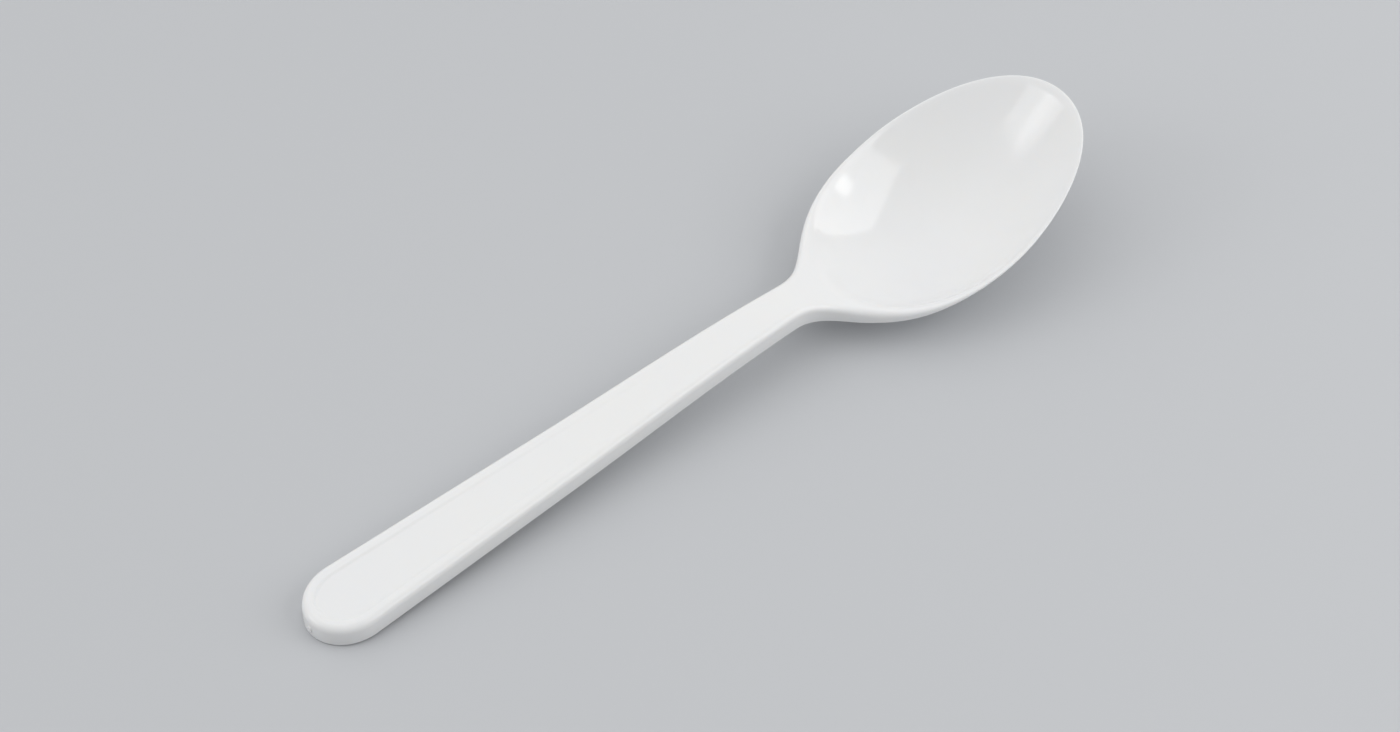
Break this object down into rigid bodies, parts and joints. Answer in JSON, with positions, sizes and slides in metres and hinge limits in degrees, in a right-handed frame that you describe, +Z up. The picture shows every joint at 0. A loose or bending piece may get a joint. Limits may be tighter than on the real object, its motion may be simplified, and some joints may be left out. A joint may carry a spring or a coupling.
{
  "type": "plastic spoon",
  "caption": "Disposable white plastic spoon: flat tapering handle with a rounded end, turned-down edge wall, slim neck and deep egg-shaped bowl, for eating and stirring.",
  "frame": {"origin": "on the table, under the middle of the spoon's length", "axes": "+X along the spoon from the handle's end to the bowl's tip, +Z up out of the open bowl, the same on both sides of the XZ plane"},
  "size_m": [0.165, 0.0382, 0.0211],
  "materials": {
    "white_moulded_plastic": "smooth, glossy, as moulded"
  },
  "bodies": {
    "root": {"spoon": "white_moulded_plastic"}
  },
  "joints": []
}
